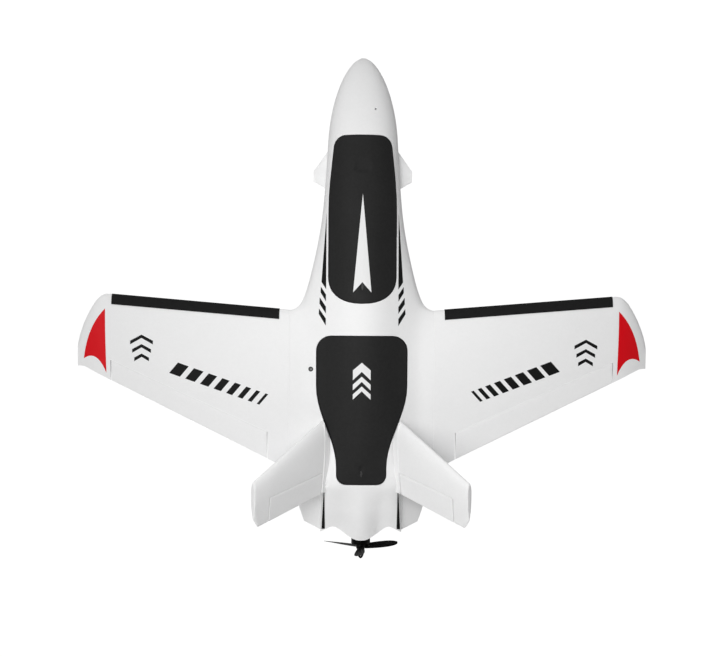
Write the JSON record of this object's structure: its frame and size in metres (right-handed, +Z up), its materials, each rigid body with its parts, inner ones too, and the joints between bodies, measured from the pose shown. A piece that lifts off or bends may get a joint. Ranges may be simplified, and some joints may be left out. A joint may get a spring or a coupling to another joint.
{
  "type": "radio-controlled flying wing",
  "caption": "Foam flying-wing model aircraft with a blended pod fuselage, plug-in wings, ailerons, a moving V-tail, lift-off hatches and a rear pusher propeller",
  "frame": {"origin": "on the flat rest face of the belly skid plate, straight below the centre of the main spar tube", "axes": "+X to the right wing tip, +Y to the nose, +Z up"},
  "size_m": [0.85, 0.7451, 0.1819],
  "materials": {
    "white_foam": "moulded bead foam, satin skin",
    "black_foam": "matte black moulded foam",
    "black_eva": "thin self-adhesive foam strip",
    "carbon": "pultruded carbon tube",
    "black_nylon": "moulded nylon",
    "white_nylon": "moulded nylon",
    "plywood": "light plywood",
    "battery_wrap": "heat-shrink wrap",
    "strap_webbing": "woven hook and loop strap",
    "silicone_wire": "silicone rubber",
    "steel": "plated steel",
    "stator_copper": "enamelled copper and dark laminations",
    "servo_case": "tinted nylon case",
    "motor_black": "black anodised aluminium",
    "propeller_black": "glossy polycarbonate"
  },
  "bodies": {
    "airframe": {"fuselage_upper_shell": "white_foam", "fuselage_lower_shell": "white_foam", "right_wing_panel": "white_foam", "left_wing_panel": "white_foam", "right_edge_strip": "black_eva", "left_edge_strip": "black_eva", "right_tail_fin": "white_foam", "left_tail_fin": "white_foam", "right_ventral_fin": "white_foam", "left_ventral_fin": "white_foam", "right_canard": "white_foam", "left_canard": "white_foam", "main_spar_tube": "carbon", "rear_spar_tube": "carbon", "belly_skid_plate": "black_nylon", "equipment_tray": "plywood", "battery_pack": "battery_wrap", "battery_strap": "strap_webbing", "speed_controller": "black_nylon", "receiver": "black_nylon", "motor_leads": "silicone_wire", "antenna_grommet": "silicone_wire", "motor_mount": "black_nylon", "motor_mount_screws": "steel", "motor_stator": "stator_copper", "motor_bearings": "steel", "hatch_seat_magnets": "steel", "right_aileron_servo": "servo_case", "left_aileron_servo": "servo_case", "right_ruddervator_servo": "servo_case", "left_ruddervator_servo": "servo_case", "aileron_hinge_brackets": "black_nylon", "ruddervator_hinge_brackets": "black_nylon"},
    "right_aileron": {"right_aileron": "white_foam", "right_aileron_hinge_leaves": "black_nylon", "right_aileron_horn": "black_nylon"},
    "right_aileron_servo_arm": {"right_aileron_servo_arm": "white_nylon"},
    "right_aileron_pushrod": {"right_aileron_pushrod": "steel"},
    "right_ruddervator": {"right_ruddervator": "white_foam", "right_ruddervator_hinge_leaves": "black_nylon", "right_ruddervator_horn": "black_nylon"},
    "right_ruddervator_servo_arm": {"right_ruddervator_servo_arm": "white_nylon"},
    "right_ruddervator_pushrod": {"right_ruddervator_pushrod": "steel"},
    "left_aileron": {"left_aileron": "white_foam", "left_aileron_hinge_leaves": "black_nylon", "left_aileron_horn": "black_nylon"},
    "left_aileron_servo_arm": {"left_aileron_servo_arm": "white_nylon"},
    "left_aileron_pushrod": {"left_aileron_pushrod": "steel"},
    "left_ruddervator": {"left_ruddervator": "white_foam", "left_ruddervator_hinge_leaves": "black_nylon", "left_ruddervator_horn": "black_nylon"},
    "left_ruddervator_servo_arm": {"left_ruddervator_servo_arm": "white_nylon"},
    "left_ruddervator_pushrod": {"left_ruddervator_pushrod": "steel"},
    "spinner": {"motor_bell": "motor_black", "propeller": "propeller_black", "propeller_nut": "motor_black"},
    "front_hatch": {"front_hatch": "black_foam", "front_hatch_magnets": "steel"},
    "rear_hatch": {"rear_hatch": "black_foam", "rear_hatch_magnets": "steel"}
  },
  "joints": [
    {"name": "right_aileron_hinge", "type": "hinge", "parent": "airframe", "child": "right_aileron", "pos_m": [0.14, -0.1309, 0.0612], "axis": [0.9114, 0.4115, 0], "range_deg": [-20, 20]},
    {"name": "right_aileron_servo", "type": "hinge", "parent": "airframe", "child": "right_aileron_servo_arm", "pos_m": [0.18722, -0.04594, 0.0573], "axis": [0.9114, 0.4115, 0], "range_deg": [-20, 20]},
    {"name": "right_aileron_link", "type": "hinge", "parent": "right_aileron", "child": "right_aileron_pushrod", "pos_m": [0.14, -0.1309, 0.0482], "axis": [0.9114, 0.4115, 0], "range_deg": [-20, 20]},
    {"name": "right_ruddervator_hinge", "type": "hinge", "parent": "airframe", "child": "right_ruddervator", "pos_m": [0.05918, -0.18889, 0.08938], "axis": [0.6873, -0.2352, 0.6873], "range_deg": [-22, 22]},
    {"name": "right_ruddervator_servo", "type": "hinge", "parent": "airframe", "child": "right_ruddervator_servo_arm", "pos_m": [0.10329, -0.17577, 0.13095], "axis": [0.6873, -0.2352, 0.6873], "range_deg": [-22, 22]},
    {"name": "right_ruddervator_link", "type": "hinge", "parent": "right_ruddervator", "child": "right_ruddervator_pushrod", "pos_m": [0.06731, -0.18889, 0.08125], "axis": [0.6873, -0.2352, 0.6873], "range_deg": [-22, 22]},
    {"name": "left_aileron_hinge", "type": "hinge", "parent": "airframe", "child": "left_aileron", "pos_m": [-0.14, -0.1309, 0.0612], "axis": [0.9114, -0.4115, 0], "range_deg": [-20, 20]},
    {"name": "left_aileron_servo", "type": "hinge", "parent": "airframe", "child": "left_aileron_servo_arm", "pos_m": [-0.18722, -0.04594, 0.0573], "axis": [0.9114, -0.4115, 0], "range_deg": [-20, 20]},
    {"name": "left_aileron_link", "type": "hinge", "parent": "left_aileron", "child": "left_aileron_pushrod", "pos_m": [-0.14, -0.1309, 0.0482], "axis": [0.9114, -0.4115, 0], "range_deg": [-20, 20]},
    {"name": "left_ruddervator_hinge", "type": "hinge", "parent": "airframe", "child": "left_ruddervator", "pos_m": [-0.05918, -0.18889, 0.08938], "axis": [0.6873, 0.2352, -0.6873], "range_deg": [-22, 22]},
    {"name": "left_ruddervator_servo", "type": "hinge", "parent": "airframe", "child": "left_ruddervator_servo_arm", "pos_m": [-0.10329, -0.17577, 0.13095], "axis": [0.6873, 0.2352, -0.6873], "range_deg": [-22, 22]},
    {"name": "left_ruddervator_link", "type": "hinge", "parent": "left_ruddervator", "child": "left_ruddervator_pushrod", "pos_m": [-0.06731, -0.18889, 0.08125], "axis": [0.6873, 0.2352, -0.6873], "range_deg": [-22, 22]},
    {"name": "propeller_spin", "type": "hinge", "parent": "airframe", "child": "spinner", "pos_m": [0, -0.282, 0.0662], "axis": [0, 1, 0], "continuous": true},
    {"name": "front_hatch_lift", "type": "slide", "parent": "airframe", "child": "front_hatch", "axis": [0, 0, 1], "range_m": [0, 0.06]},
    {"name": "rear_hatch_lift", "type": "slide", "parent": "airframe", "child": "rear_hatch", "axis": [0, 0, 1], "range_m": [0, 0.06]}
  ],
  "couplings": [
    {"joint": "right_aileron_servo", "follows": "right_aileron_hinge", "ratio": 1},
    {"joint": "right_aileron_link", "follows": "right_aileron_hinge", "ratio": -1},
    {"joint": "right_ruddervator_servo", "follows": "right_ruddervator_hinge", "ratio": 1},
    {"joint": "right_ruddervator_link", "follows": "right_ruddervator_hinge", "ratio": -1},
    {"joint": "left_aileron_servo", "follows": "left_aileron_hinge", "ratio": 1},
    {"joint": "left_aileron_link", "follows": "left_aileron_hinge", "ratio": -1},
    {"joint": "left_ruddervator_servo", "follows": "left_ruddervator_hinge", "ratio": 1},
    {"joint": "left_ruddervator_link", "follows": "left_ruddervator_hinge", "ratio": -1}
  ]
}
